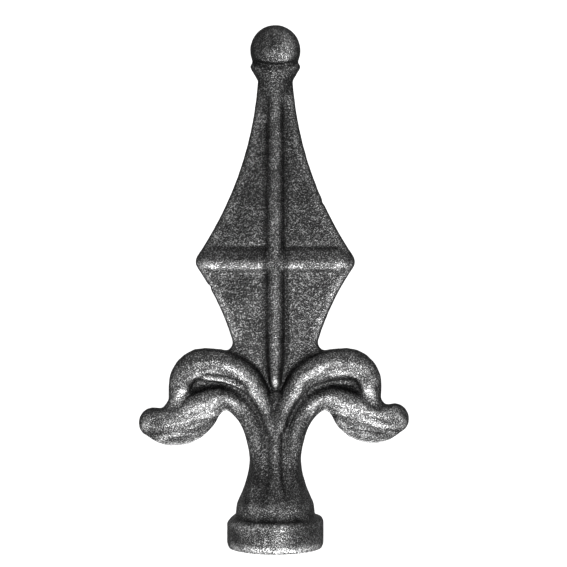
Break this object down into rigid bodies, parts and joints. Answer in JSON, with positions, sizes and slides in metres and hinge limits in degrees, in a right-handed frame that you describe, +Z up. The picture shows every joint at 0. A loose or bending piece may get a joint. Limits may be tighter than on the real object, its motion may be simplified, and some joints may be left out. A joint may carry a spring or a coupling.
{
  "type": "fence spear point",
  "caption": "Cast-iron spear point for the top of a fence picket: ball tip, ribbed blade, two curled leaves, fluted stem and a round foot to weld on.",
  "frame": {"origin": "centre of the foot's flat underside", "axes": "+Z up the picket's line to the ball, +X to the right along the flat of the blade, +Y to the back, square to the blade"},
  "size_m": [0.078, 0.0278, 0.15],
  "materials": {
    "iron": "bare, rough as cast"
  },
  "bodies": {
    "root": {"spear_point": "iron"}
  },
  "joints": []
}
